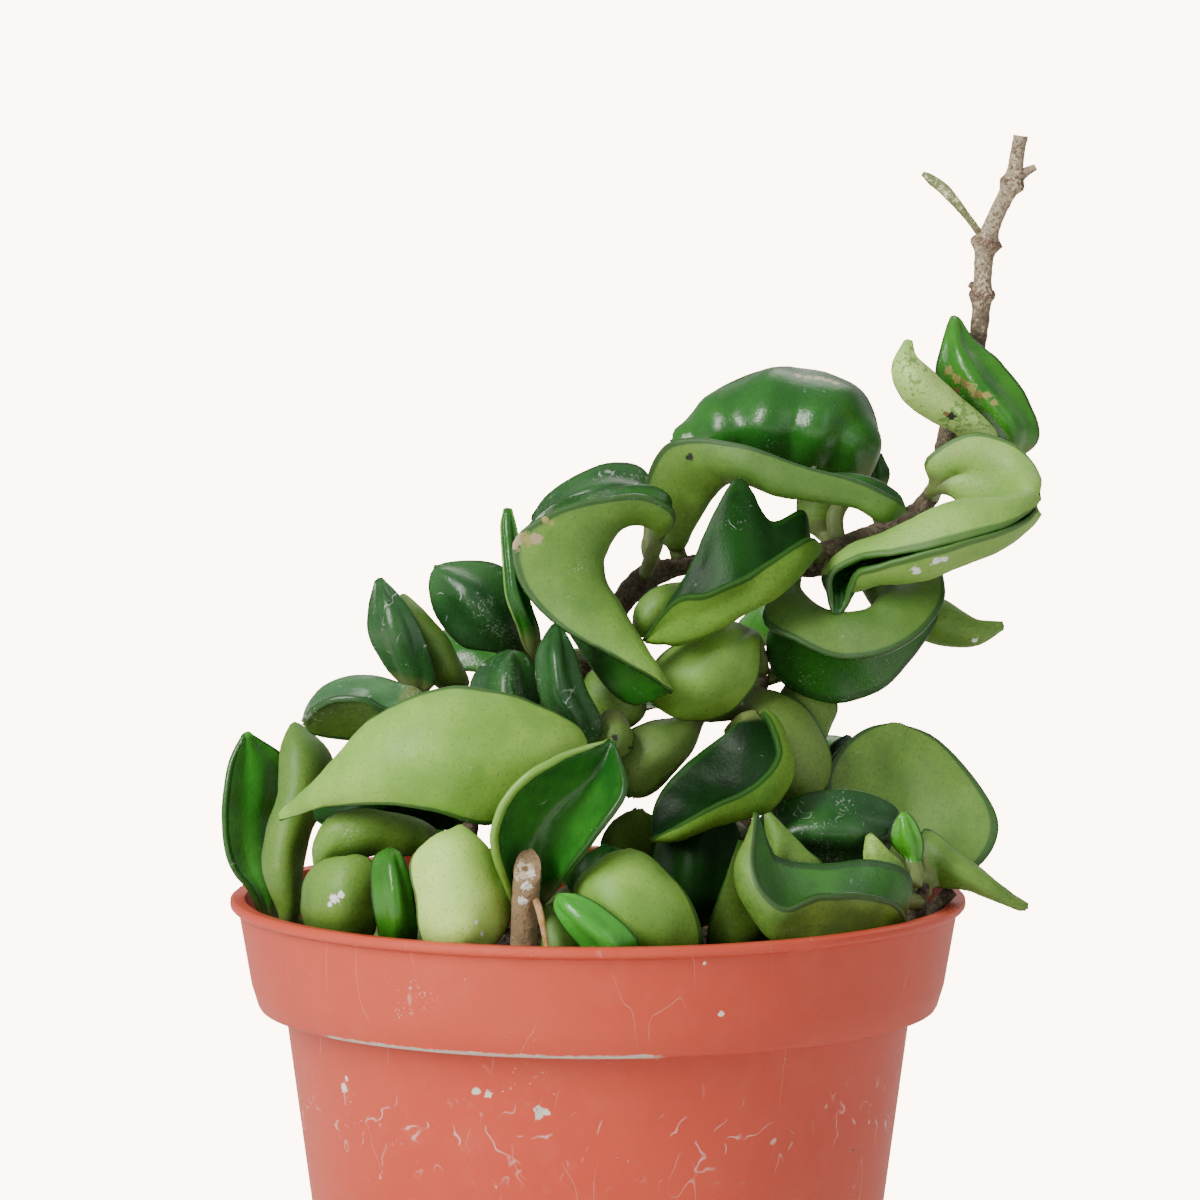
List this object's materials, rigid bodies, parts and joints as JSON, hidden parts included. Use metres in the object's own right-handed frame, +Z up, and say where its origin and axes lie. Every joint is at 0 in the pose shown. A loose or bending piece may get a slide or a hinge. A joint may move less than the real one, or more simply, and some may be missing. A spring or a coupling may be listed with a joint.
{
  "type": "potted hindu rope plant",
  "caption": "Trailing plant with thick, waxy, folded and curled leaves on thin stems, standing in a round tapered nursery pot with a stepped rim band.",
  "frame": {"origin": "centre of the pot's base, where it stands", "axes": "+Z up along the pot's axis, the front faces -Y, +X to the right seen from the front"},
  "size_m": [0.1168, 0.105, 0.1979],
  "materials": {
    "leaf_green": "waxy, dark and glossy above, paler and satin below",
    "stem_bark": "dry, scurfy bark",
    "stump_wood": "dry bark with a pale cut end",
    "soil": "matt, damp potting mix with bark bits",
    "pot_plastic": "satin moulded plastic"
  },
  "bodies": {
    "root": {"leaf_left_outer": "leaf_green", "leaf_left_twisted": "leaf_green", "leaf_front_arch": "leaf_green", "leaf_front_fold": "leaf_green", "leaf_left_hook": "leaf_green", "leaf_left_inner": "leaf_green", "leaf_front_low_left": "leaf_green", "leaf_front_band": "leaf_green", "leaf_front_round": "leaf_green", "leaf_front_sliver": "leaf_green", "leaf_front_glossy": "leaf_green", "leaf_front_cupped": "leaf_green", "leaf_upper_left_dark": "leaf_green", "leaf_upper_left_pale": "leaf_green", "leaf_left_hollow": "leaf_green", "leaf_upper_round": "leaf_green", "leaf_upper_sliver": "leaf_green", "leaf_middle_round": "leaf_green", "leaf_middle_wedge": "leaf_green", "leaf_behind_wedge": "leaf_green", "leaf_crescent": "leaf_green", "leaf_behind_crescent": "leaf_green", "leaf_centre_fold": "leaf_green", "leaf_centre_lobe": "leaf_green", "leaf_centre_broad": "leaf_green", "leaf_upper_hook": "leaf_green", "leaf_upper_dome": "leaf_green", "leaf_upper_small": "leaf_green", "leaf_behind_hook": "leaf_green", "leaf_right_lobe": "leaf_green", "leaf_top_pale": "leaf_green", "leaf_top_dark": "leaf_green", "leaf_ring": "leaf_green", "leaf_right_point": "leaf_green", "leaf_hanging_pale": "leaf_green", "leaf_hanging_olive": "leaf_green", "leaf_centre_cup": "leaf_green", "leaf_drooping": "leaf_green", "leaf_drooping_small": "leaf_green", "leaf_behind_low": "leaf_green", "leaf_right_disc": "leaf_green", "leaf_right_dark_back": "leaf_green", "leaf_right_dark_long": "leaf_green", "leaf_right_fold": "leaf_green", "leaf_right_triangle": "leaf_green", "leaf_right_tip": "leaf_green", "leaf_young_left": "leaf_green", "leaf_shaded_left": "leaf_green", "leaf_shaded_middle": "leaf_green", "leaf_shaded_right": "leaf_green", "main_vine": "stem_bark", "left_vine": "stem_bark", "front_vine": "stem_bark", "middle_vine": "stem_bark", "right_vine": "stem_bark", "back_spray_left": "leaf_green", "back_spray_right": "leaf_green", "stump": "stump_wood", "pot": "pot_plastic", "soil": "soil"}
  },
  "joints": []
}
